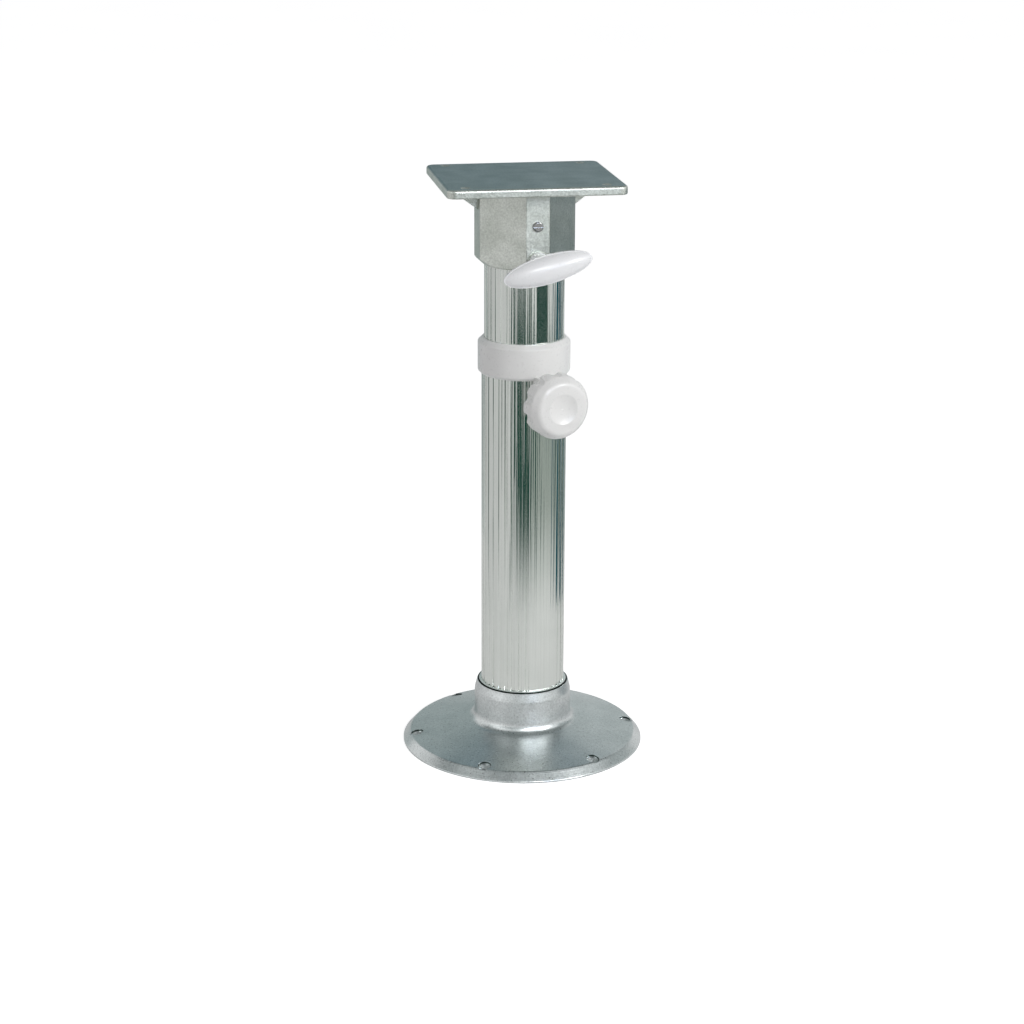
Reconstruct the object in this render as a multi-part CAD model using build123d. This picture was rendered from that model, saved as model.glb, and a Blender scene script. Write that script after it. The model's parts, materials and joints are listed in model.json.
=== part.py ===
from build123d import *
import os
from math import cos, radians, sin, tan

# Adjustable seat pedestal, in millimetres. The origin is the middle of the base's underside, +Z is up.
# Radii are from the post's axis. A reach is a distance out from that axis along a clamp screw.

# Fits
running_gap = 0.08
seat_gap = 0.05
screw_gap = 0.05

# Inner tube
inner_tube_radius = 37.0
inner_tube_wall = 2.2
inner_tube_length = 320.0
inner_plain_angle = 12.0
key_width = 12.0
key_depth = 1.3

# Outer tube
tube_space = 0.5
outer_tube_wall = 2.0
outer_tube_length = 385.5
outer_plain_angle = 11.0

# Flutes of both tubes, flat-bottomed with sloping sides
flute_count = 36
flute_depth = 0.5
flute_floor = 2.4
flute_mouth = 3.4

# Ring between the outer tube's foot and the base's socket
foot_ring_wall = 2.4
foot_ring_height = 17.5
foot_ring_seat_depth = 16.0
foot_ring_clearance = 1.1
foot_ring_round = 1.3

# Base flange
base_radius = 115.0
base_edge_height = 1.5
base_edge_round = 1.0
base_shoulder_width = 7.0
base_shoulder_height = 9.0
base_shoulder_round = 3.0
base_slope = 12.2
base_wall = 6.0
socket_wall = 2.95
socket_height = 60.0
socket_root_round = 10.0
socket_taper_height = 9.0
socket_taper_width = 2.4
socket_taper_round = 10.0
tube_ledge_height = 6.0
tube_ledge_width = 4.5
core_rim_width = 22.0
core_hub_wall = 4.0
core_rib_thickness = 5.0
floor_screw_count = 6
floor_screw_inset = 12.0
floor_screw_hole = 6.5
floor_screw_head = 12.6
floor_screw_sink = 2.0

# Collar
collar_wall = 3.35
collar_skirt = 26.5
collar_lip = 6.5
collar_top_bevel = 4.0
collar_top_land = 1.6
collar_bottom_bevel = 2.4
collar_side_round = 1.5
collar_bevel_round = 1.0
collar_mouth_round = 0.6
boss_radius = 9.8
boss_length = 12.5
boss_overlap = 4.0
boss_edge_round = 1.0

# Guide ring on the inner tube's foot
guide_flange_height = 12.0
guide_spigot_height = 20.0
guide_wall = 6.5

# Head casting
column_showing = 69.0
head_height = 72.0
head_wall = 2.14
head_narrow_angle = 27.0
head_turn = 5.2
head_edge_round = 1.2
head_bottom_bevel = 7.0
head_bottom_land = 1.2
head_roof = 9.0
rib_foot_drop = 21.0
rib_edge_margin = 7.4
rib_thickness = 8.0
rib_root = 4.0
plate_width = 162.0
plate_depth = 143.0
plate_thickness = 8.0
plate_corner = 8.0
plate_top_round = 2.4
plate_bottom_round = 1.2
plate_hole = 7.0
plate_hole_bevel = 1.2
plate_hole_inset_x = 17.5
plate_hole_inset_y = 11.5

# Swivel inside the head
washer_thickness = 2.0
sleeve_thickness = 2.5
spigot_land = 5.7
spigot_shoulder = 1.7
spigot_tail = 22.0
spigot_wall = 5.5
spigot_cap = 5.0
groove_depth = 1.5
rivet_turns = (60, 180, 300)
rivet_radius = 2.4
rivet_depth = 5.0
rivet_rise = 10.0

# Retaining screw in the head's narrow facet
retainer_rise = 41.0
retainer_radius = 3.0
retainer_tip_radius = 2.0
retainer_tip_length = 4.0
retainer_head_radius = 4.8
retainer_head_height = 2.6
retainer_head_round = 1.2
retainer_slot_width = 1.3
retainer_slot_depth = 1.2
retainer_play = 0.3

# Height clamp on the collar
clamp_azimuth = 16.5
clamp_drop = 18.0
clamp_stud_radius = 5.0
clamp_stud_tip_radius = 2.5
clamp_stud_tip_length = 1.8
clamp_insert_wall = 2.0
clamp_pad_radius = 4.6
clamp_pad_thickness = 3.5
knob_gap = 5.0
knob_depth = 23.0
knob_radius = 29.8
knob_back_round = 2.5
knob_face_radius = 24.0
knob_face_round = 6.0
knob_face_crown = 0.6
knob_shoulder_depth = 8.0
knob_shoulder_round = 8.0
knob_lobe_count = 10
knob_scallop_round = 6.5
knob_scallop_depth = 3.4
knob_scallop_tilt = 9.0
knob_dish_radius = 13.5
knob_dish_depth = 2.6
knob_stud_hold = 16.0

# Swivel lock on the head
lock_rise = 9.4
lock_boss_radius = 9.0
lock_boss_length = 2.3
lock_stud_radius = 4.0
lock_stud_tip_radius = 2.0
lock_stud_tip_length = 1.2
lock_pad_radius = 3.7
lock_pad_thickness = 2.6
handle_hub_radius = 9.0
handle_hub_gap = 1.5
handle_reach = 31.0
handle_length = 82.5
handle_width = 26.0
handle_front = 9.0
handle_back = 6.5
handle_band = 2.6
handle_band_step = 0.7
handle_tilt = 13.0
handle_stud_hold = 6.0

# Heights and radii that follow from the sizes above
outer_tube_bore = inner_tube_radius + tube_space
outer_tube_radius = outer_tube_bore + outer_tube_wall
foot_ring_radius = outer_tube_radius + seat_gap + foot_ring_wall
socket_radius = foot_ring_radius + foot_ring_clearance + socket_wall
floor_screw_circle = 2 * (base_radius - floor_screw_inset)
key_floor = inner_tube_radius - key_depth
outer_tube_top = tube_ledge_height + outer_tube_length
collar_top = outer_tube_top + collar_lip
collar_bottom = outer_tube_top - collar_skirt
collar_radius = outer_tube_radius + seat_gap + collar_wall
boss_reach = outer_tube_radius + boss_length
knob_back = boss_reach + knob_gap
clamp_height = collar_bottom - clamp_drop
inner_tube_bore = inner_tube_radius - inner_tube_wall
inner_flat = key_floor - inner_tube_wall
head_bottom = collar_top + column_showing
plate_bottom = head_bottom + head_height
head_bore = inner_tube_radius + running_gap
bore_roof = plate_bottom - head_roof
spigot_top = bore_roof - running_gap - washer_thickness
retainer_height = head_bottom + retainer_rise
groove_half = retainer_tip_radius + retainer_play
inner_tube_top = retainer_height - groove_half - spigot_land
inner_tube_bottom = inner_tube_top - inner_tube_length
sleeve_bottom = retainer_height + groove_half + spigot_shoulder
sleeve_bore = inner_tube_radius - sleeve_thickness
spigot_radius = inner_tube_bore - seat_gap
lock_height = head_bottom + lock_rise
head_corner_radius = (head_bore + head_wall) / cos(radians(45 - head_narrow_angle / 2))
narrow_facet_reach = head_corner_radius * cos(radians(head_narrow_angle / 2))
lock_boss_reach = narrow_facet_reach + lock_boss_length
handle_middle = lock_boss_reach + handle_reach
plate_hole_spacing_x = plate_width - 2 * plate_hole_inset_x
plate_hole_spacing_y = plate_depth - 2 * plate_hole_inset_y
base_slope_ratio = tan(radians(base_slope))
ring_seat_height = socket_height - foot_ring_seat_depth
clamp_pad_reach = key_floor + seat_gap
clamp_stud_reach = clamp_pad_reach + clamp_pad_thickness + screw_gap
lock_pad_reach = inner_tube_radius + seat_gap
lock_stud_reach = lock_pad_reach + lock_pad_thickness + screw_gap


def turned(points):
    """Solid of revolution from (radius, height, corner rounding) points."""
    corners = [(radius, 0, height) for radius, height, _ in points]
    outline = FilletPolyline(*corners, radius=[rounding for _, _, rounding in points], close=True)
    return revolve(make_face(outline), axis=Axis.Z)


def peg(radius, start, end):
    """Round bar along the local Z axis."""
    return Pos(0, 0, start) * Cylinder(radius, end - start, align=(Align.CENTER, Align.CENTER, Align.MIN))


def facing(azimuth, height):
    """Place whose Z axis points out from the post, at an azimuth counted from -Y towards +X."""
    outward = Vector(sin(radians(azimuth)), -cos(radians(azimuth)), 0)
    across = Vector(-outward.Y, outward.X, 0)
    return Plane(origin=(0, 0, height), x_dir=across, z_dir=outward).location


def ring_of(piece, count, first_turn=0.0):
    """Copies of a piece at equal turns about the post."""
    return [Rot(0, 0, first_turn + index * 360 / count) * piece for index in range(count)]


def base_height_at(radius):
    """Height of the base's sloping top at a radius."""
    return base_shoulder_height + (base_radius - base_shoulder_width - radius) * base_slope_ratio


def base_flange():
    ring_bore = foot_ring_radius + foot_ring_clearance
    tube_bore = outer_tube_radius + seat_gap
    drain_radius = outer_tube_radius - tube_ledge_width
    body = turned([
        (drain_radius, 0, 0),
        (base_radius, 0, 0),
        (base_radius, base_edge_height, base_edge_round),
        (base_radius - base_shoulder_width, base_shoulder_height, base_shoulder_round),
        (socket_radius, base_height_at(socket_radius), socket_root_round),
        (socket_radius, socket_height - socket_taper_height, socket_taper_round),
        (socket_radius - socket_taper_width, socket_height, 0),
        (ring_bore, socket_height, 0),
        (ring_bore, ring_seat_height, 0),
        (tube_bore, ring_seat_height, 0),
        (tube_bore, tube_ledge_height, 0),
        (drain_radius, tube_ledge_height, 0),
    ])
    core_inner = socket_radius + core_hub_wall
    core_outer = base_radius - core_rim_width
    core = turned([
        (core_inner, 0, 0),
        (core_outer, 0, 0),
        (core_outer, base_height_at(core_outer) - base_wall, 0),
        (core_inner, base_height_at(core_inner) - base_wall, 0),
    ])
    rib = Box(base_radius, core_rib_thickness, socket_height, align=(Align.MIN, Align.CENTER, Align.CENTER))
    body -= core - ring_of(rib, floor_screw_count)
    return body - ring_of(floor_screw_space(), floor_screw_count)


def floor_screw_space():
    """Screw hole with a countersink, whose mouth is sunk a little below the sloping top."""
    reach = floor_screw_circle / 2
    bore_radius = floor_screw_hole / 2
    mouth_radius = floor_screw_head / 2
    mouth_bottom = base_height_at(reach) - floor_screw_sink
    cone_height = mouth_radius - bore_radius
    cone = Cone(bore_radius, mouth_radius, cone_height, align=(Align.CENTER, Align.CENTER, Align.MAX))
    bore = peg(bore_radius, 0, mouth_bottom)
    mouth = peg(mouth_radius, mouth_bottom, socket_height)
    return Pos(reach, 0, 0) * (bore + Pos(0, 0, mouth_bottom) * cone + mouth)


def foot_ring():
    inside = outer_tube_radius + seat_gap
    ring_top = ring_seat_height + foot_ring_height
    return turned([
        (inside, ring_seat_height, 0),
        (foot_ring_radius, ring_seat_height, 0),
        (foot_ring_radius, ring_top, foot_ring_round),
        (inside, ring_top, 0),
    ])


def fluted_section(radius, plain_angle):
    """Round section with shallow flutes, plain for some degrees each side of the clamp."""
    section = Circle(radius)
    half_floor = flute_floor / 2
    half_open = half_floor + flute_mouth - flute_floor
    corners = [
        (radius - flute_depth, -half_floor),
        (radius + flute_depth, -half_open),
        (radius + flute_depth, half_open),
        (radius - flute_depth, half_floor),
    ]
    flute = make_face(Polyline(*corners, close=True))
    turns = [index * 360 / flute_count for index in range(flute_count)]
    section -= [Rot(0, 0, turn) * flute for turn in turns if plain_angle < turn < 360 - plain_angle]
    return section


def towards_clamp(piece):
    """Turn a piece that was drawn towards +X to the clamp's side."""
    return Rot(0, 0, clamp_azimuth - 90) * piece


def outer_tube():
    section = fluted_section(outer_tube_radius, outer_plain_angle) - Circle(outer_tube_bore)
    tube = Pos(0, 0, tube_ledge_height) * extrude(section, outer_tube_length)
    hole = peg(clamp_stud_radius + screw_gap + clamp_insert_wall + seat_gap, 0, collar_radius)
    return towards_clamp(tube) - facing(clamp_azimuth, clamp_height) * hole


def collar():
    tube_seat = outer_tube_radius + seat_gap
    mouth = inner_tube_radius + running_gap
    ring = turned([
        (tube_seat, collar_bottom, 0),
        (collar_radius - collar_bottom_bevel, collar_bottom, 0),
        (collar_radius, collar_bottom + collar_bottom_bevel, collar_side_round),
        (collar_radius, collar_top - collar_top_bevel, collar_bevel_round),
        (mouth + collar_top_land, collar_top, collar_mouth_round),
        (mouth, collar_top, 0),
        (mouth, outer_tube_top, 0),
        (tube_seat, outer_tube_top, 0),
    ])
    boss_rise = clamp_drop + boss_overlap
    boss_section = Circle(boss_radius) + Pos(0, boss_rise / 2) * Rectangle(2 * boss_radius, boss_rise)
    boss = extrude(boss_section, boss_reach)
    boss = fillet(boss.edges().group_by(Axis.Z)[-1], boss_edge_round)
    tube_space = peg(tube_seat, 0, outer_tube_top)
    insert_seat = peg(clamp_stud_radius + screw_gap + clamp_insert_wall, 0, boss_reach)
    place = facing(clamp_azimuth, clamp_height)
    return ring + (place * boss - tube_space) - place * insert_seat


def clamp_insert():
    outside = peg(clamp_stud_radius + screw_gap + clamp_insert_wall, outer_tube_bore + seat_gap, boss_reach)
    inside = peg(clamp_stud_radius + screw_gap, 0, boss_reach)
    return facing(clamp_azimuth, clamp_height) * (outside - inside)


def rivet_pattern(height):
    """Three rivets set in from the inner tube's flutes, clear of the key groove."""
    outer_end = inner_tube_radius - flute_depth - seat_gap
    rivet = peg(rivet_radius, outer_end - rivet_depth, outer_end)
    return [facing(clamp_azimuth + turn, height) * rivet for turn in rivet_turns]


def rivet_holes(height):
    outer_end = inner_tube_radius - flute_depth - seat_gap
    hole = peg(rivet_radius + seat_gap, outer_end - rivet_depth - seat_gap, outer_tube_radius)
    return [facing(clamp_azimuth + turn, height) * hole for turn in rivet_turns]


def guide_rivet_height():
    return inner_tube_bottom + rivet_rise


def spigot_rivet_height():
    return inner_tube_top - rivet_rise


def inner_tube():
    half_depth = inner_tube_radius - key_floor + flute_depth
    key = Pos(key_floor + half_depth, 0) * Rectangle(2 * half_depth, key_width)
    section = fluted_section(inner_tube_radius, inner_plain_angle) - key - plug_section(inner_tube_bore, inner_flat)
    tube = towards_clamp(Pos(0, 0, inner_tube_bottom) * extrude(section, inner_tube_length))
    return tube - rivet_holes(guide_rivet_height()) - rivet_holes(spigot_rivet_height())


def plug_section(radius, flat_reach):
    """Disc with one flat, which is the inner tube's bore, drawn towards +X."""
    return Circle(radius) - Pos(flat_reach + radius, 0) * Rectangle(2 * radius, 2 * radius)


def tail_plug(bottom, height):
    """Plug that fills the inner tube's bore."""
    section = plug_section(spigot_radius, inner_flat - seat_gap)
    return towards_clamp(Pos(0, 0, bottom) * extrude(section, height))


def guide_ring():
    flange_bottom = inner_tube_bottom - guide_flange_height
    flange = peg(outer_tube_bore - running_gap, flange_bottom, inner_tube_bottom)
    body = flange + tail_plug(inner_tube_bottom, guide_spigot_height)
    opening = peg(spigot_radius - guide_wall, flange_bottom, inner_tube_bottom + guide_spigot_height)
    return body - opening - rivet_holes(guide_rivet_height())


def swivel_spigot():
    groove_bottom = retainer_height - groove_half
    groove_top = retainer_height + groove_half
    groove_floor = sleeve_bore - seat_gap - groove_depth
    head = turned([
        (0, inner_tube_top, 0),
        (inner_tube_radius - seat_gap, inner_tube_top, 0),
        (inner_tube_radius - seat_gap, groove_bottom, 0),
        (groove_floor, groove_bottom, 0),
        (groove_floor, groove_top, 0),
        (inner_tube_radius - seat_gap, groove_top, 0),
        (inner_tube_radius - seat_gap, sleeve_bottom, 0),
        (sleeve_bore - seat_gap, sleeve_bottom, 0),
        (sleeve_bore - seat_gap, spigot_top, 0),
        (0, spigot_top, 0),
    ])
    body = head + tail_plug(inner_tube_top - spigot_tail, spigot_tail)
    hollow = peg(groove_floor - spigot_wall, inner_tube_top - spigot_tail, spigot_top - spigot_cap)
    return body - hollow - rivet_holes(spigot_rivet_height())


def swivel_sleeve():
    return peg(inner_tube_radius, sleeve_bottom, spigot_top) - peg(sleeve_bore, sleeve_bottom, spigot_top)


def thrust_washer():
    top = spigot_top + washer_thickness
    hole = peg(sleeve_bore / 2, spigot_top, top)
    return peg(inner_tube_radius - seat_gap, spigot_top, top) - hole


def head_outline():
    """Eight-sided section with four narrow facets, the first of them facing +X."""
    half = head_narrow_angle / 2
    turns = [quarter * 90 + side for quarter in range(4) for side in (-half, half)]
    corners = [Vector(head_corner_radius, 0).rotate(Axis.Z, turn) for turn in turns]
    section = make_face(Polyline(*corners, close=True))
    return fillet(section.vertices(), head_edge_round)


def towards_lock(piece):
    """Turn a piece that was drawn towards +X to the head's front facet."""
    return Rot(0, 0, head_turn - 90) * piece


def rib():
    """Web under the plate, from a narrow facet outwards along +X."""
    foot = plate_bottom - rib_foot_drop
    start = narrow_facet_reach - rib_root
    reach = plate_width / 2 - rib_edge_margin
    corners = [(start, 0, plate_bottom), (start, 0, foot), (narrow_facet_reach, 0, foot), (reach, 0, plate_bottom)]
    web = make_face(Polyline(*corners, close=True))
    return extrude(web, rib_thickness / 2, both=True)


def seat_plate():
    outline = RectangleRounded(plate_width, plate_depth, plate_corner)
    plate = Pos(0, 0, plate_bottom) * extrude(outline, plate_thickness)
    plate = fillet(plate.edges().group_by(Axis.Z)[-1], plate_top_round)
    return fillet(plate.edges().group_by(Axis.Z)[0], plate_bottom_round)


def head_casting():
    body = Pos(0, 0, head_bottom) * extrude(head_outline(), head_height)
    bevel = turned([
        (0, head_bottom, 0),
        (head_bore + head_bottom_land, head_bottom, 0),
        (head_corner_radius, head_bottom + head_bottom_bevel, 0),
        (head_corner_radius, plate_bottom, 0),
        (0, plate_bottom, 0),
    ])
    body = towards_lock(body) & bevel
    body += facing(head_turn, lock_height) * peg(lock_boss_radius, head_bore, lock_boss_reach)
    for side in (0, 180):
        body += Rot(0, 0, side + head_turn) * rib()
    body += seat_plate()
    body -= peg(head_bore, head_bottom, bore_roof)
    body -= facing(head_turn, lock_height) * peg(lock_stud_radius + screw_gap, 0, lock_boss_reach)
    body -= facing(head_turn, retainer_height) * peg(retainer_radius + screw_gap, 0, head_corner_radius)
    bevel_cone = Cone(plate_hole / 2, plate_hole / 2 + plate_hole_bevel, plate_hole_bevel)
    hole = peg(plate_hole / 2, plate_bottom, plate_bottom + plate_thickness)
    hole += Pos(0, 0, plate_bottom + plate_thickness - plate_hole_bevel / 2) * bevel_cone
    return body - GridLocations(plate_hole_spacing_x, plate_hole_spacing_y, 2, 2) * hole


def retaining_screw():
    head_end = narrow_facet_reach + retainer_head_height
    shank_start = head_bore + seat_gap
    pan = peg(retainer_head_radius, narrow_facet_reach, head_end)
    pan = fillet(pan.edges().group_by(Axis.Z)[-1], retainer_head_round)
    slot = Pos(0, 0, head_end) * Box(3 * retainer_head_radius, retainer_slot_width, 2 * retainer_slot_depth)
    tip = peg(retainer_tip_radius, shank_start - retainer_tip_length, shank_start)
    screw = pan - slot + peg(retainer_radius, shank_start, narrow_facet_reach) + tip
    return facing(head_turn, retainer_height) * screw


def pressure_pad(radius, thickness, tip_radius, tip_length, reach):
    """Pad on a clamp screw's tip, with a blind hole that the tip turns in."""
    outer_end = reach + thickness
    hole = peg(tip_radius + screw_gap, outer_end - tip_length - screw_gap, outer_end)
    return peg(radius, reach, outer_end) - hole


def clamp_pad():
    pad = pressure_pad(
        clamp_pad_radius,
        clamp_pad_thickness,
        clamp_stud_tip_radius,
        clamp_stud_tip_length,
        clamp_pad_reach,
    )
    return facing(clamp_azimuth, clamp_height) * pad


def lock_pad():
    pad = pressure_pad(
        lock_pad_radius,
        lock_pad_thickness,
        lock_stud_tip_radius,
        lock_stud_tip_length,
        lock_pad_reach,
    )
    return facing(head_turn, lock_height) * pad


def clamp_stud():
    tip = peg(clamp_stud_tip_radius, clamp_stud_reach - clamp_stud_tip_length, clamp_stud_reach)
    stud = tip + peg(clamp_stud_radius, clamp_stud_reach, knob_back + knob_stud_hold)
    return facing(clamp_azimuth, clamp_height) * stud


def clamp_knob():
    front = knob_back + knob_depth
    body = turned([
        (0, knob_back, 0),
        (knob_radius, knob_back, knob_back_round),
        (knob_radius, front - knob_shoulder_depth, knob_shoulder_round),
        (knob_face_radius, front, knob_face_round),
        (0, front + knob_face_crown, 0),
    ])
    scallop_reach = knob_radius + knob_scallop_round - knob_scallop_depth
    scallop = Cylinder(knob_scallop_round, 3 * knob_depth)
    scallop = Pos(scallop_reach, 0, knob_back) * Rot(0, knob_scallop_tilt, 0) * scallop
    body -= ring_of(scallop, knob_lobe_count, 180 / knob_lobe_count)
    dish_round = (knob_dish_radius**2 + knob_dish_depth**2) / (2 * knob_dish_depth)
    body -= Pos(0, 0, front - knob_dish_depth + dish_round) * Sphere(dish_round)
    body -= peg(clamp_stud_radius + seat_gap, knob_back, knob_back + knob_stud_hold + seat_gap)
    return facing(clamp_azimuth, clamp_height) * body


def wing_stud():
    stud_end = handle_middle - handle_back + handle_stud_hold
    tip = peg(lock_stud_tip_radius, lock_stud_reach - lock_stud_tip_length, lock_stud_reach)
    return facing(head_turn, lock_height) * (tip + peg(lock_stud_radius, lock_stud_reach, stud_end))


def half_lens(depth):
    """Half of an oval lens on the local XY plane, cut from a spheroid that is turned about its long axis."""
    half_length = handle_length / 2 - handle_band_step
    half_width = handle_width / 2 - handle_band_step
    sunk = (half_width**2 - depth**2) / (2 * depth)
    waist = depth + sunk
    oval = Ellipse(half_length * waist / half_width, waist) & Pos(0, waist) * Rectangle(4 * half_length, 2 * waist)
    spheroid = revolve(oval, axis=Axis.X)
    below = Box(4 * half_length, 4 * waist, 4 * waist, align=(Align.CENTER, Align.CENTER, Align.MAX))
    return Pos(0, 0, -sunk) * spheroid - below


def wing_handle():
    band = extrude(Ellipse(handle_length / 2, handle_width / 2), handle_band)
    front = Pos(0, 0, handle_band) * half_lens(handle_front)
    back = Rot(180, 0, 0) * half_lens(handle_back)
    lens = Rot(0, 0, handle_tilt) * (band + front + back)
    body = Pos(0, 0, handle_middle) * lens
    body += peg(handle_hub_radius, lock_boss_reach + handle_hub_gap, handle_middle)
    stud_end = handle_middle - handle_back + handle_stud_hold
    body -= peg(lock_stud_radius + seat_gap, lock_boss_reach, stud_end + seat_gap)
    return facing(head_turn, lock_height) * body


# Every sub-part, by the name of its file
pieces = {
    "base_flange": base_flange(),
    "foot_ring": foot_ring(),
    "outer_tube": outer_tube(),
    "collar": collar(),
    "clamp_insert": clamp_insert(),
    "inner_tube": inner_tube(),
    "guide_ring": guide_ring(),
    "guide_rivets": Compound(children=rivet_pattern(guide_rivet_height())),
    "swivel_spigot": swivel_spigot(),
    "spigot_rivets": Compound(children=rivet_pattern(spigot_rivet_height())),
    "swivel_sleeve": swivel_sleeve(),
    "thrust_washer": thrust_washer(),
    "head_casting": head_casting(),
    "retaining_screw": retaining_screw(),
    "clamp_pad": clamp_pad(),
    "clamp_stud": clamp_stud(),
    "clamp_knob": clamp_knob(),
    "lock_pad": lock_pad(),
    "wing_stud": wing_stud(),
    "wing_handle": wing_handle(),
}

os.makedirs("parts", exist_ok=True)
for name, piece in pieces.items():
    export_step(piece, f"parts/{name}.step")
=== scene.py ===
import json
import math

import bpy
from mathutils import Matrix, Vector

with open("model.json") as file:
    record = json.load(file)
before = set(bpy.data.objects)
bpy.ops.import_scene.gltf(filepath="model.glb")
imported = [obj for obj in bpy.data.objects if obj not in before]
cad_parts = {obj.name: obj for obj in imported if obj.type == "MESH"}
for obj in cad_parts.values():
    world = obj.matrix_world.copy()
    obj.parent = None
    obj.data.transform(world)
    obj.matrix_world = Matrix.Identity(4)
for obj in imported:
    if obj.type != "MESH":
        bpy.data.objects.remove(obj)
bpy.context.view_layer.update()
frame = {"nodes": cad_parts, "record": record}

# Adjustable seat pedestal, dressed around its construction model. Metres, +Z up, front towards -Y.
nodes = frame["nodes"]
scene = bpy.context.scene
scene.view_settings.view_transform = "Standard"

# Camera, solved from the photograph's frame of 1024 pixels
PICTURE_WIDTH = 1024
FOCAL_PIXELS = 2403.5
SENSOR_MM = 36.0
CAMERA_PITCH = math.radians(17.6)
CAMERA_ROLL = math.radians(0.21)
CAMERA_AZIMUTH = math.radians(-9.86)
CAMERA_DISTANCE = 2.25196
CAMERA_SIDE = -0.01078
CAMERA_RISE = -0.05003
LOOK_HEIGHT = 0.28

# Cards on the floor that the tubes mirror: distances from the post, and heights
TABLE_EDGE = 0.42
DARK_FADE_END = 0.72
TABLE_FADE_END = 0.8
TABLE_REACH = 1.7
SIDE_EDGE = 1.3
DARK_REACH = 2.2
CARD_REACH = 4.0
CARD_HEIGHT = 0.002
CARD_STEP = 0.001

# Cards on the floor: degrees to the right of the camera at which one ends and the next starts
DARK_START = -29
DARK_END = 28
PALE_START = 22
PALE_END = 44
SIDE_END = 62
TABLE_END = 98
RIGHT_END = 140

# Paper behind the post, which the plate's top and the base's sides mirror
BACKDROP = 0.6
BACKDROP_START = 145
BACKDROP_MIDDLE = 180
BACKDROP_END = 232
BACKDROP_FOOT = 0.02
PLATE_LEVEL = 0.64
PLATE_BAND_TOP = 0.95
BACKDROP_TOP = 2.0

# Walls and ceiling in front of the post, which the base's front, its rim and the head mirror
WALL_DISTANCE = 2.5
WALL_START = -85
WALL_FOOT = 0.75
PANEL_SIDE = 75
PANEL_FOOT = 1.6
PANEL_TOP = 3.3
CEILING_HEIGHT = 3.5
CEILING_SIDE = 5.0
CEILING_FRONT = -6.0
CEILING_BACK = 2.5

# Floor: half its width, and its own glow for the camera and in mirrors. World: its soft light
FLOOR_HALF = 20.0
CAMERA_LIFT = 0.67
MIRROR_LIFT = 0.25
SOFT_STRENGTH = 0.55

# Where most of a noise's values lie
NOISE_MIDDLE = {"From Min": 0.3, "From Max": 0.7}

# Die lines and soft ridges on the tubes: height, scale along the tube, and where they set in round the axis
RIDGE_HEIGHT = 0.001
LINE_SCALE_ALONG = 0.006
RIDGE_START = 0.0361
RIDGE_FULL = 0.0364

# Depth of the rings that the lathe leaves on the base
RING_DEPTH = 0.00006

# Painted shade in the base's screw recesses: the radii and depths where it is painted, and the sloping top
# there
RECESS_INNER = 0.0963
RECESS_OUTER = 0.1078
RECESS_SHADE_TOP = 0.0004
RECESS_SHADE_BOTTOM = 0.0017
SHOULDER_RADIUS = 0.108
SHOULDER_HEIGHT = 0.009
TOP_SLOPE = 0.216
SOFT_EDGE = 0.0002

# Height up to which the foot ring is painted dark, as shade in its joint with the socket
JOINT_SHADE_TOP = 0.0609

# Two faces of a piece that meet at more than this angle keep a crease
CREASE = math.radians(32)


def linear(hex_colour):
    """Linear RGBA of an sRGB hex value."""
    channels = [int(hex_colour[at:at + 2], 16) / 255 for at in (1, 3, 5)]
    return [c / 12.92 if c <= 0.04045 else ((c + 0.055) / 1.055) ** 2.4 for c in channels] + [1.0]


def per_mm(size):
    """Texture scale for a pattern whose features are this many millimetres across."""
    return 1000.0 / size


def add_node(tree, kind, inputs=None, **settings):
    """Add a node. Each input is a value or the output socket that feeds it."""
    made = tree.nodes.new(kind)
    for name, value in settings.items():
        setattr(made, name, value)
    for name, value in (inputs or {}).items():
        if isinstance(value, bpy.types.NodeSocket):
            tree.links.new(value, made.inputs[name])
        else:
            made.inputs[name].default_value = value
    return made


def new_material(name):
    """Empty material, with its tree and the object's own coordinates in metres."""
    made = bpy.data.materials.new(name)
    made.use_nodes = True
    made.node_tree.nodes.clear()
    place = add_node(made.node_tree, "ShaderNodeTexCoord").outputs["Object"]
    return made, made.node_tree, place


def finish_material(tree, shader):
    add_node(tree, "ShaderNodeOutputMaterial", {"Surface": shader.outputs["BSDF"]})


def from_axis(tree, place):
    """Distance of a point from the post's axis."""
    level = add_node(tree, "ShaderNodeVectorMath", {0: place, 1: (1.0, 1.0, 0.0)}, operation="MULTIPLY")
    radius = add_node(tree, "ShaderNodeVectorMath", {0: level.outputs["Vector"]}, operation="LENGTH")
    return radius.outputs["Value"]


def within(tree, value, low, high):
    """One between two limits and zero outside them, with a short soft edge."""
    above = add_node(tree, "ShaderNodeMapRange", {
        "Value": value, "From Min": low - SOFT_EDGE, "From Max": low,
    })
    below = add_node(tree, "ShaderNodeMapRange", {
        "Value": value, "From Min": high + SOFT_EDGE, "From Max": high,
    })
    both = add_node(tree, "ShaderNodeMath", {
        0: above.outputs["Result"], 1: below.outputs["Result"],
    }, operation="MULTIPLY")
    return both.outputs["Value"]


def recess_painted_shade(tree, place, radius):
    """Where shade is painted: round the walls of the base's screw recesses, above their countersinks."""
    height = add_node(tree, "ShaderNodeSeparateXYZ", {"Vector": place}).outputs["Z"]
    top_at_middle = SHOULDER_HEIGHT + SHOULDER_RADIUS * TOP_SLOPE
    rise = add_node(tree, "ShaderNodeMath", {0: radius, 1: TOP_SLOPE, 2: height}, operation="MULTIPLY_ADD")
    depth = add_node(tree, "ShaderNodeMath", {
        0: top_at_middle, 1: rise.outputs["Value"],
    }, operation="SUBTRACT")
    sunk = within(tree, depth.outputs["Value"], RECESS_SHADE_TOP, RECESS_SHADE_BOTTOM)
    near_holes = within(tree, radius, RECESS_INNER, RECESS_OUTER)
    return add_node(tree, "ShaderNodeMath", {0: sunk, 1: near_holes}, operation="MULTIPLY").outputs["Value"]


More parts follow.
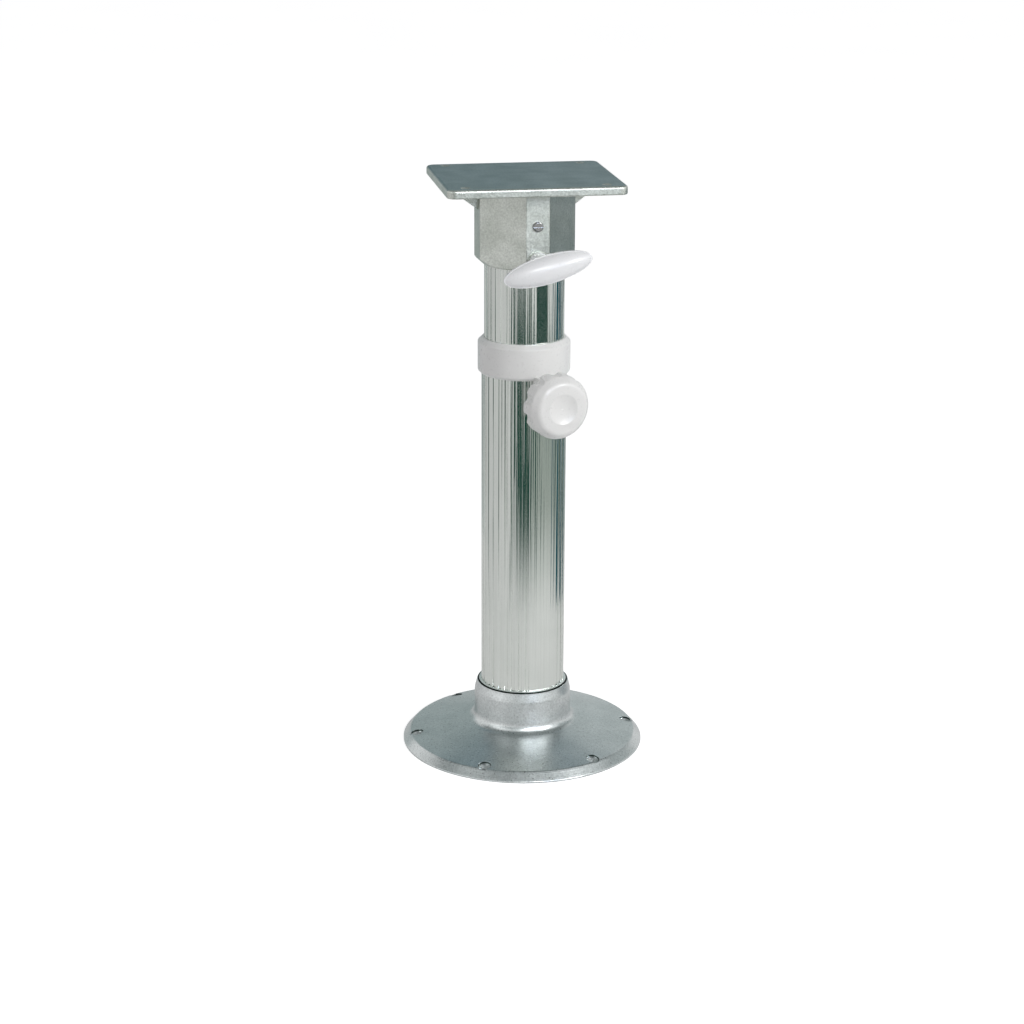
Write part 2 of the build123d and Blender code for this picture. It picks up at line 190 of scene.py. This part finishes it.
def cast_aluminium(name, light, dark, smoothest, roughest, ring_depth=0.0):
    """Sand-cast aluminium under clear lacquer: satin, grainy, with soft cloudy patches and a few small pits.

    A ring depth above zero is for the base, which was skimmed on a lathe: it adds turned rings, which
    draw a lamp out into a streak that points at the middle, and painted shade in the screw recesses.
    """
    made, tree, place = new_material(name)
    cloud = add_node(tree, "ShaderNodeTexNoise", {"Vector": place, "Scale": per_mm(22), "Detail": 4.0})
    grain = add_node(tree, "ShaderNodeTexNoise", {"Vector": place, "Scale": per_mm(1.6), "Detail": 3.0})
    speck = add_node(tree, "ShaderNodeTexVoronoi", {"Vector": place, "Scale": per_mm(3.2)})
    pit = add_node(tree, "ShaderNodeMapRange", {
        "Value": speck.outputs["Distance"], "From Min": 0.05, "From Max": 0.16, "To Min": 1.0, "To Max": 0.0,
    })
    shade = add_node(tree, "ShaderNodeMapRange", {
        "Value": cloud.outputs["Fac"], "From Min": 0.35, "From Max": 0.65,
    })
    tone = add_node(tree, "ShaderNodeMix", {
        "Factor": shade.outputs["Result"], "A": linear(dark), "B": linear(light),
    }, data_type="RGBA")
    grain_shade = add_node(tree, "ShaderNodeMapRange", {
        "Value": grain.outputs["Fac"], **NOISE_MIDDLE, "To Min": 0.8, "To Max": 1.12,
    })
    colour = add_node(tree, "ShaderNodeVectorMath", {
        0: tone.outputs["Result"], "Scale": grain_shade.outputs["Result"],
    }, operation="SCALE").outputs["Vector"]
    polish = add_node(tree, "ShaderNodeMapRange", {
        "Value": grain.outputs["Fac"], **NOISE_MIDDLE, "To Min": smoothest, "To Max": roughest,
    })
    relief = add_node(tree, "ShaderNodeMath", {
        0: grain.outputs["Fac"], 1: pit.outputs["Result"],
    }, operation="SUBTRACT")
    bump = add_node(tree, "ShaderNodeBump", {
        "Height": relief.outputs["Value"], "Strength": 0.3, "Distance": 0.0002,
    })
    if ring_depth:
        radius = from_axis(tree, place)
        # The walls of the screw recesses are painted dark grey-green as shade
        painted_shade = add_node(tree, "ShaderNodeMix", {
            "Factor": recess_painted_shade(tree, place, radius), "A": colour, "B": linear("#47524F"),
        }, data_type="RGBA")
        colour = painted_shade.outputs["Result"]
        rings = add_node(tree, "ShaderNodeTexNoise", {
            "W": radius, "Scale": per_mm(1.2), "Detail": 2.0,
        }, noise_dimensions="1D")
        bump = add_node(tree, "ShaderNodeBump", {
            "Height": rings.outputs["Fac"], "Strength": 1.0, "Distance": ring_depth,
            "Normal": bump.outputs["Normal"],
        })
    shader = add_node(tree, "ShaderNodeBsdfPrincipled", {
        "Base Color": colour, "Metallic": 1.0, "Roughness": polish.outputs["Result"],
        "Normal": bump.outputs["Normal"],
    })
    finish_material(tree, shader)
    return made


def anodised_aluminium():
    """Extruded aluminium tube, bright anodised: die lines run along it, with a slight grey-green film.

    The die leaves broad soft ridges and fine lines on the outside, and none on the sheltered floor
    of the key groove, so mirrored edges break up into stripes there and stay plain in the groove.
    """
    made, tree, place = new_material("anodised_aluminium")
    outside = add_node(tree, "ShaderNodeMapRange", {
        "Value": from_axis(tree, place), "From Min": RIDGE_START, "From Max": RIDGE_FULL,
    })
    # Real die lines are under 0.1 mm apart, drawn at 0.7 mm so that they show
    along = add_node(tree, "ShaderNodeMapping", {"Vector": place, "Scale": (1.0, 1.0, LINE_SCALE_ALONG)})
    lines = add_node(tree, "ShaderNodeTexNoise", {
        "Vector": along.outputs["Vector"], "Scale": per_mm(0.7), "Detail": 2.0,
    })
    film = add_node(tree, "ShaderNodeTexNoise", {"Vector": place, "Scale": per_mm(30), "Detail": 3.0})
    grain = add_node(tree, "ShaderNodeTexNoise", {"Vector": place, "Scale": per_mm(1.3), "Detail": 2.0})
    tone = add_node(tree, "ShaderNodeMix", {
        "Factor": film.outputs["Fac"], "A": linear("#D3D8D3"), "B": linear("#DEE1DD"),
    }, data_type="RGBA")
    streak = add_node(tree, "ShaderNodeMapRange", {
        "Value": lines.outputs["Fac"], **NOISE_MIDDLE, "To Min": 0.94, "To Max": 1.03,
    })
    colour = add_node(tree, "ShaderNodeVectorMath", {
        0: tone.outputs["Result"], "Scale": streak.outputs["Result"],
    }, operation="SCALE")
    polish = add_node(tree, "ShaderNodeMapRange", {
        "Value": grain.outputs["Fac"], **NOISE_MIDDLE, "To Min": 0.12, "To Max": 0.18,
    })
    ridges = add_node(tree, "ShaderNodeTexNoise", {
        "Vector": along.outputs["Vector"], "Scale": per_mm(2.2), "Detail": 1.0,
    })
    ridge = add_node(tree, "ShaderNodeMath", {
        0: ridges.outputs["Fac"], 1: outside.outputs["Result"],
    }, operation="MULTIPLY")
    bump = add_node(tree, "ShaderNodeBump", {
        "Height": ridge.outputs["Value"], "Strength": 1.0, "Distance": RIDGE_HEIGHT,
    })
    fine_bump = add_node(tree, "ShaderNodeBump", {
        "Height": lines.outputs["Fac"], "Strength": 0.12, "Distance": 0.0001,
        "Normal": bump.outputs["Normal"],
    })
    shader = add_node(tree, "ShaderNodeBsdfPrincipled", {
        "Base Color": colour.outputs["Vector"], "Metallic": 1.0, "Roughness": polish.outputs["Result"],
        "Normal": fine_bump.outputs["Normal"],
    })
    finish_material(tree, shader)
    return made


def turned_aluminium(name, shade_top=0.0):
    """Lathe-turned aluminium: bright, with fine rings round the axis, and painted shade up to a height."""
    made, tree, place = new_material(name)
    across = add_node(tree, "ShaderNodeMapping", {"Vector": place, "Scale": (0.02, 0.02, 1.0)})
    rings = add_node(tree, "ShaderNodeTexNoise", {
        "Vector": across.outputs["Vector"], "Scale": per_mm(0.5), "Detail": 2.0,
    })
    tone = add_node(tree, "ShaderNodeMix", {
        "Factor": rings.outputs["Fac"], "A": linear("#D5DAD6"), "B": linear("#ECEFED"),
    }, data_type="RGBA")
    colour = tone.outputs["Result"]
    if shade_top:
        height = add_node(tree, "ShaderNodeSeparateXYZ", {"Vector": place}).outputs["Z"]
        # Below that height the ring is painted near black, as shade in its joint with the socket
        painted_shade = add_node(tree, "ShaderNodeMix", {
            "Factor": within(tree, height, 0.0, shade_top), "A": colour, "B": linear("#1F2A26"),
        }, data_type="RGBA")
        colour = painted_shade.outputs["Result"]
    bump = add_node(tree, "ShaderNodeBump", {
        "Height": rings.outputs["Fac"], "Strength": 0.1, "Distance": 0.00008,
    })
    shader = add_node(tree, "ShaderNodeBsdfPrincipled", {
        "Base Color": colour, "Metallic": 1.0, "Roughness": 0.42, "Normal": bump.outputs["Normal"],
    })
    finish_material(tree, shader)
    return made


def moulded_plastic(name, light, dark, roughness):
    """Moulded nylon or acetal: even colour with faint flow clouds, a waxy gloss and a slight orange peel."""
    made, tree, place = new_material(name)
    cloud = add_node(tree, "ShaderNodeTexNoise", {"Vector": place, "Scale": per_mm(16), "Detail": 3.0})
    peel = add_node(tree, "ShaderNodeTexNoise", {"Vector": place, "Scale": per_mm(2.4), "Detail": 2.0})
    tone = add_node(tree, "ShaderNodeMix", {
        "Factor": cloud.outputs["Fac"], "A": linear(light), "B": linear(dark),
    }, data_type="RGBA")
    polish = add_node(tree, "ShaderNodeMapRange", {
        "Value": peel.outputs["Fac"], **NOISE_MIDDLE,
        "To Min": roughness - 0.04, "To Max": roughness + 0.05,
    })
    bump = add_node(tree, "ShaderNodeBump", {
        "Height": peel.outputs["Fac"], "Strength": 0.1, "Distance": 0.0002,
    })
    shader = add_node(tree, "ShaderNodeBsdfPrincipled", {
        "Base Color": tone.outputs["Result"], "Roughness": polish.outputs["Result"], "IOR": 1.53,
        "Subsurface Weight": 0.06, "Subsurface Radius": (0.002, 0.002, 0.002),
        "Normal": bump.outputs["Normal"],
    })
    finish_material(tree, shader)
    return made


def machined_metal(name, light, dark, roughness):
    """Small machined part of steel or brass: bright, with fine scratches that cross."""
    made, tree, place = new_material(name)
    scratch = add_node(tree, "ShaderNodeTexNoise", {
        "Vector": place, "Scale": per_mm(0.8), "Detail": 4.0, "Distortion": 1.5,
    })
    tone = add_node(tree, "ShaderNodeMix", {
        "Factor": scratch.outputs["Fac"], "A": linear(light), "B": linear(dark),
    }, data_type="RGBA")
    bump = add_node(tree, "ShaderNodeBump", {
        "Height": scratch.outputs["Fac"], "Strength": 0.2, "Distance": 0.0001,
    })
    shader = add_node(tree, "ShaderNodeBsdfPrincipled", {
        "Base Color": tone.outputs["Result"], "Metallic": 1.0, "Roughness": roughness,
        "Normal": bump.outputs["Normal"],
    })
    finish_material(tree, shader)
    return made


def glow(name, hex_colour, near=0.0, far=0.0):
    """Plain colour for a card that only reflections see. It fades in between two distances from the post."""
    made, tree, place = new_material(name)
    shader = add_node(tree, "ShaderNodeEmission", {"Color": linear(hex_colour)}).outputs["Emission"]
    if far > near:
        distance = add_node(tree, "ShaderNodeVectorMath", {0: place}, operation="LENGTH")
        part = add_node(tree, "ShaderNodeMapRange", {
            "Value": distance.outputs["Value"], "From Min": near, "From Max": far,
        })
        clear = add_node(tree, "ShaderNodeBsdfTransparent")
        mixed = add_node(tree, "ShaderNodeMixShader", {
            0: part.outputs["Result"], 1: clear.outputs["BSDF"], 2: shader,
        })
        shader = mixed.outputs["Shader"]
    add_node(tree, "ShaderNodeOutputMaterial", {"Surface": shader})
    return made


def view_basis():
    """The camera's right, up and back directions."""
    level = Vector((math.sin(CAMERA_AZIMUTH), -math.cos(CAMERA_AZIMUTH), 0.0))
    back = level * math.cos(CAMERA_PITCH) + Vector((0, 0, math.sin(CAMERA_PITCH)))
    right = Vector((math.cos(CAMERA_AZIMUTH), math.sin(CAMERA_AZIMUTH), 0.0))
    up = back.cross(right)
    rolled_right = right * math.cos(CAMERA_ROLL) + up * math.sin(CAMERA_ROLL)
    rolled_up = up * math.cos(CAMERA_ROLL) - right * math.sin(CAMERA_ROLL)
    return rolled_right, rolled_up, back


def add_camera():
    right, up, back = view_basis()
    data = bpy.data.cameras.new("photo_camera")
    data.lens = FOCAL_PIXELS / PICTURE_WIDTH * SENSOR_MM
    data.sensor_width = SENSOR_MM
    data.clip_end = 50.0
    camera = bpy.data.objects.new("photo_camera", data)
    scene.collection.objects.link(camera)
    place = Vector((0, 0, LOOK_HEIGHT)) + right * CAMERA_SIDE + up * CAMERA_RISE + back * CAMERA_DISTANCE
    turn = Matrix((right, up, back)).transposed().to_4x4()
    camera.matrix_world = Matrix.Translation(place) @ turn
    scene.camera = camera


def aimed(azimuth):
    """Level direction this many degrees to the right of the camera, as seen from the post."""
    turn = CAMERA_AZIMUTH + math.radians(azimuth)
    return Vector((math.sin(turn), -math.cos(turn), 0.0))


def add_mesh(name, corners, faces, material):
    mesh = bpy.data.meshes.new(name)
    mesh.from_pydata([tuple(corner) for corner in corners], [], faces)
    mesh.materials.append(material)
    made = bpy.data.objects.new(name, mesh)
    scene.collection.objects.link(made)
    return made


def add_card(name, corners, faces, material):
    """Stage card that mirror reflections alone see."""
    card = add_mesh(name, corners, faces, material)
    card.visible_camera = False
    card.visible_diffuse = False
    card.visible_transmission = False
    card.visible_shadow = False
    card.visible_volume_scatter = False


def curved_card(name, turns, low_edge, high_edge, material):
    """Card between two edges round the post. An edge is its distance from the post and its height."""
    corners = [
        aimed(turn) * distance + Vector((0, 0, height))
        for distance, height in (low_edge, high_edge)
        for turn in turns
    ]
    steps = len(turns) - 1
    faces = [(step, step + 1, step + steps + 2, step + steps + 1) for step in range(steps)]
    add_card(name, corners, faces, material)


def floor_card(name, first, last, near, far, material, height=CARD_HEIGHT, steps=8):
    """Flat sector on the floor between two azimuths and two distances."""
    turns = [first + (last - first) * step / steps for step in range(steps + 1)]
    curved_card(name, turns, (near, height), (far, height), material)


def wall_card(name, first, last, distance, low, high, material, steps=12):
    """Upright strip between two azimuths, at a distance from the post."""
    turns = [first + (last - first) * step / steps for step in range(steps + 1)]
    curved_card(name, turns, (distance, low), (distance, high), material)


def add_floor_cards():
    """What the tubes and the head's facets mirror: a table top near the post and rooms beyond it."""
    floor_card("room_beyond_table", DARK_START, DARK_END, TABLE_EDGE, DARK_REACH,
               glow("dark_floor", "#0A4437", TABLE_EDGE, DARK_FADE_END))
    floor_card("grey_table", DARK_END, TABLE_END, TABLE_EDGE, TABLE_REACH,
               glow("grey_floor", "#A4ADA7", TABLE_EDGE, TABLE_FADE_END))
    floor_card("pale_table", DARK_END, PALE_END, TABLE_REACH, DARK_REACH, glow("pale_floor_card", "#FFFFFF"))
    floor_card("pale_room", PALE_START, PALE_END, DARK_REACH, CARD_REACH, glow("pale_room_card", "#FFFFFF"))
    floor_card("room_at_side", PALE_END, SIDE_END, SIDE_EDGE, CARD_REACH,
               glow("dark_room", "#073E33"), height=CARD_HEIGHT + CARD_STEP)
    floor_card("room_at_right", TABLE_END, RIGHT_END, TABLE_EDGE, CARD_REACH, glow("teal_room", "#08505C"))


def add_backdrop():
    """What the plate's top and the base's sides mirror: sheets of paper behind the post."""
    wall_card("low_backdrop_left", BACKDROP_MIDDLE, BACKDROP_END, BACKDROP, BACKDROP_FOOT, PLATE_LEVEL,
              glow("grey_paper", "#ACB8B8"))
    wall_card("low_backdrop_right", BACKDROP_START, BACKDROP_MIDDLE, BACKDROP, BACKDROP_FOOT, PLATE_LEVEL,
              glow("light_grey_paper", "#CBD3D3"))
    wall_card("middle_backdrop", BACKDROP_START, BACKDROP_END, BACKDROP, PLATE_LEVEL, PLATE_BAND_TOP,
              glow("blue_grey_paper", "#3F6678"))
    wall_card("high_backdrop", BACKDROP_START, BACKDROP_END, BACKDROP, PLATE_BAND_TOP, BACKDROP_TOP,
              glow("high_grey_paper", "#AEBABB"))


def add_walls():
    """What the base's front, its rim and the head mirror: a grey wall, a white panel above it and a ceiling."""
    wall_card("far_wall", WALL_START, BACKDROP_START, WALL_DISTANCE, WALL_FOOT, PANEL_FOOT,
              glow("wall_grey", "#AAB4B4"), steps=30)
    wall_card("front_panel", -PANEL_SIDE, PANEL_SIDE, WALL_DISTANCE, PANEL_FOOT, PANEL_TOP,
              glow("white_panel", "#F4F6F6"))
    corners = [
        (-CEILING_SIDE, CEILING_FRONT, CEILING_HEIGHT), (CEILING_SIDE, CEILING_FRONT, CEILING_HEIGHT),
        (CEILING_SIDE, CEILING_BACK, CEILING_HEIGHT), (-CEILING_SIDE, CEILING_BACK, CEILING_HEIGHT),
    ]
    add_card("ceiling", corners, [(0, 1, 2, 3)], glow("grey_ceiling", "#7C8484"))


def mirrored_ray(tree, ray):
    """One for a ray that a mirror or clear body sent on."""
    either = add_node(tree, "ShaderNodeMath", {
        0: ray.outputs["Is Glossy Ray"], 1: ray.outputs["Is Transmission Ray"],
    }, operation="MAXIMUM")
    return either.outputs["Value"]


def add_floor():
    """Large pale floor. The camera sees it nearly white, and it keeps a soft shadow."""
    made, tree, place = new_material("pale_floor")
    cloud = add_node(tree, "ShaderNodeTexNoise", {"Vector": place, "Scale": per_mm(400), "Detail": 2.0})
    tone = add_node(tree, "ShaderNodeMix", {
        "Factor": cloud.outputs["Fac"], "A": linear("#DDDDDD"), "B": linear("#E3E3E3"),
    }, data_type="RGBA")
    matt = add_node(tree, "ShaderNodeBsdfDiffuse", {"Color": tone.outputs["Result"]})
    ray = add_node(tree, "ShaderNodeLightPath")
    in_mirror = add_node(tree, "ShaderNodeMath", {
        0: mirrored_ray(tree, ray), 1: MIRROR_LIFT,
    }, operation="MULTIPLY")
    strength = add_node(tree, "ShaderNodeMath", {
        0: ray.outputs["Is Camera Ray"], 1: CAMERA_LIFT, 2: in_mirror.outputs["Value"],
    }, operation="MULTIPLY_ADD")
    lift = add_node(tree, "ShaderNodeEmission", {"Strength": strength.outputs["Value"]})
    both = add_node(tree, "ShaderNodeAddShader", {0: matt.outputs["BSDF"], 1: lift.outputs["Emission"]})
    add_node(tree, "ShaderNodeOutputMaterial", {"Surface": both.outputs["Shader"]})
    corners = [
        (-FLOOR_HALF, -FLOOR_HALF, 0), (FLOOR_HALF, -FLOOR_HALF, 0),
        (FLOOR_HALF, FLOOR_HALF, 0), (-FLOOR_HALF, FLOOR_HALF, 0),
    ]
    add_mesh("studio_floor", corners, [(0, 1, 2, 3)], made)


def add_world():
    """Even pale surround, white where the camera looks past the floor."""
    world = bpy.data.worlds.new("studio")
    world.use_nodes = True
    tree = world.node_tree
    tree.nodes.clear()
    ray = add_node(tree, "ShaderNodeLightPath")
    seen = add_node(tree, "ShaderNodeMath", {
        0: ray.outputs["Is Camera Ray"], 1: mirrored_ray(tree, ray),
    }, operation="MAXIMUM")
    soft = add_node(tree, "ShaderNodeBackground", {"Color": linear("#E7E7E8"), "Strength": SOFT_STRENGTH})
    plain = add_node(tree, "ShaderNodeBackground", {"Color": linear("#FFFFFF"), "Strength": 1.0})
    either = add_node(tree, "ShaderNodeMixShader", {
        0: seen.outputs["Value"], 1: soft.outputs["Background"], 2: plain.outputs["Background"],
    })
    add_node(tree, "ShaderNodeOutputWorld", {"Surface": either.outputs["Shader"]})
    scene.world = world


def add_lamp(name, azimuth, elevation, distance, size, power, hex_colour="#FFFFFF"):
    """Soft square lamp that faces the middle of the post: degrees, metres and watts."""
    data = bpy.data.lights.new(name, "AREA")
    data.size = size
    data.energy = power
    data.color = linear(hex_colour)[:3]
    lamp = bpy.data.objects.new(name, data)
    scene.collection.objects.link(lamp)
    rise = math.radians(elevation)
    towards = aimed(azimuth) * math.cos(rise) + Vector((0, 0, math.sin(rise)))
    lamp.location = Vector((0, 0, LOOK_HEIGHT)) + towards * distance
    lamp.rotation_euler = towards.to_track_quat("Z", "Y").to_euler()
    return lamp


def add_lamps():
    """Three soft lamps for all surfaces, and two that light only gloss: on the facets and on the base."""
    add_lamp("key", 50, 24, 2.2, 0.5, 20)
    add_lamp("window", 75, 25, 2.4, 1.3, 4)
    add_lamp("fill", -60, 20, 2.5, 1.5, 5)
    facet_gloss = add_lamp("facet_gloss", 27, 20, 2.2, 0.4, 8, "#DCE8FF")
    streak_gloss = add_lamp("streak_gloss", 13, 31, 2.2, 0.2, 12)
    for lamp in (facet_gloss, streak_gloss):
        lamp.visible_diffuse = False


def dress(node, material):
    """Give a piece its material and shade it smoothly, with its creases kept."""
    piece = nodes[node]
    piece.data.materials.clear()
    piece.data.materials.append(material)
    piece.data.shade_smooth()
    piece.data.set_sharp_from_angle(angle=CREASE)


add_camera()
add_world()
add_floor()
add_floor_cards()
add_backdrop()
add_walls()
add_lamps()

# One finish for each material slot of the record
finishes = {
    "cast_aluminium": cast_aluminium("cast_aluminium", "#CDD0CA", "#BCC0B9", 0.34, 0.46),
    "anodised_aluminium": anodised_aluminium(),
    "turned_aluminium": turned_aluminium("turned_aluminium"),
    "white_nylon": moulded_plastic("white_nylon", "#EDEDEC", "#E5E5E4", 0.3),
    "acetal": moulded_plastic("acetal", "#E4E1D8", "#DAD7CE", 0.42),
    "stainless_steel": machined_metal("stainless_steel", "#C9C8C5", "#A6A5A2", 0.22),
    "brass": machined_metal("brass", "#C7A456", "#B08E45", 0.25),
}
for row in frame["record"]["subparts"]:
    dress(row["node"], finishes[row["material_slot"]])

# Pieces whose finish differs a little from others of the same slot
# The base's finish also paints shade dark in its screw recesses
dress("base_flange", cast_aluminium("lacquered_casting", "#CED2D2", "#C2C7C7", 0.27, 0.33, RING_DEPTH))
dress("wing_handle", moulded_plastic("bright_white_nylon", "#F2F3F5", "#EBECEE", 0.3))
dress("retaining_screw", machined_metal("worn_steel", "#ABABAB", "#6F7170", 0.16))
# The foot ring's low part is painted dark as shade in its joint
dress("foot_ring", turned_aluminium("turned_aluminium_in_joint", JOINT_SHADE_TOP))
